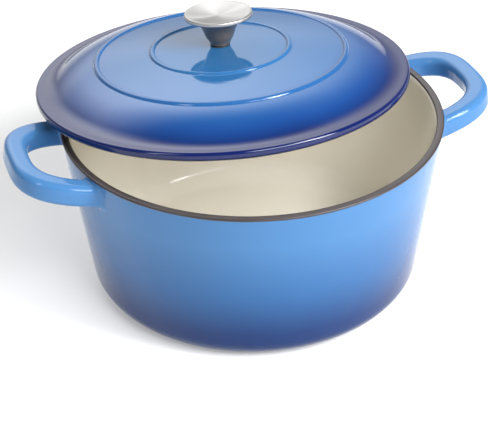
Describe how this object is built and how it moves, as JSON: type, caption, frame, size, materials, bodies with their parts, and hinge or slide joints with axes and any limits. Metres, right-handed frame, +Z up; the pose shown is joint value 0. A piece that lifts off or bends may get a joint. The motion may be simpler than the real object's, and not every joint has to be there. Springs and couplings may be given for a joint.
{
  "type": "dutch oven",
  "caption": "Round enamelled cast iron dutch oven with cast loop handles and a domed lid lying askew on the rim, lifted by a flared steel knob.",
  "frame": {"origin": "centre of the pot's foot ring, on the floor", "axes": "+X along the two loop handles, +Z up, +Y the side that the lid has slid towards"},
  "size_m": [0.3418, 0.3039, 0.1829],
  "materials": {
    "cast_iron": "bare ground iron on the foot ring, otherwise hidden under enamel",
    "blue_enamel": "glossy vitreous enamel, sky blue shading to deep blue",
    "cream_enamel": "glossy cream vitreous enamel",
    "dark_enamel": "satin charcoal ground coat on the seating edges",
    "spun_steel": "stainless steel with a fine spun grain",
    "bright_steel": "plain stainless steel fixings",
    "gasket_rubber": "black silicone ring"
  },
  "bodies": {
    "pot": {"pot_casting": "cast_iron", "pot_outer_enamel": "blue_enamel", "pot_inner_enamel": "cream_enamel", "pot_rim_enamel": "dark_enamel", "pot_base_enamel": "blue_enamel"},
    "lid": {"lid_casting": "cast_iron", "lid_outer_enamel": "blue_enamel", "lid_inner_enamel": "cream_enamel", "lid_seat_enamel": "dark_enamel", "knob_plate": "spun_steel", "knob_stem": "spun_steel", "knob_insert": "bright_steel", "knob_gasket": "gasket_rubber", "flat_washer": "bright_steel", "spring_washer": "bright_steel", "knob_screw": "bright_steel"}
  },
  "joints": [
    {"name": "lid_lift", "type": "slide", "parent": "pot", "child": "lid", "axis": [0, 0, 1], "range_m": [0, 0.16]}
  ]
}
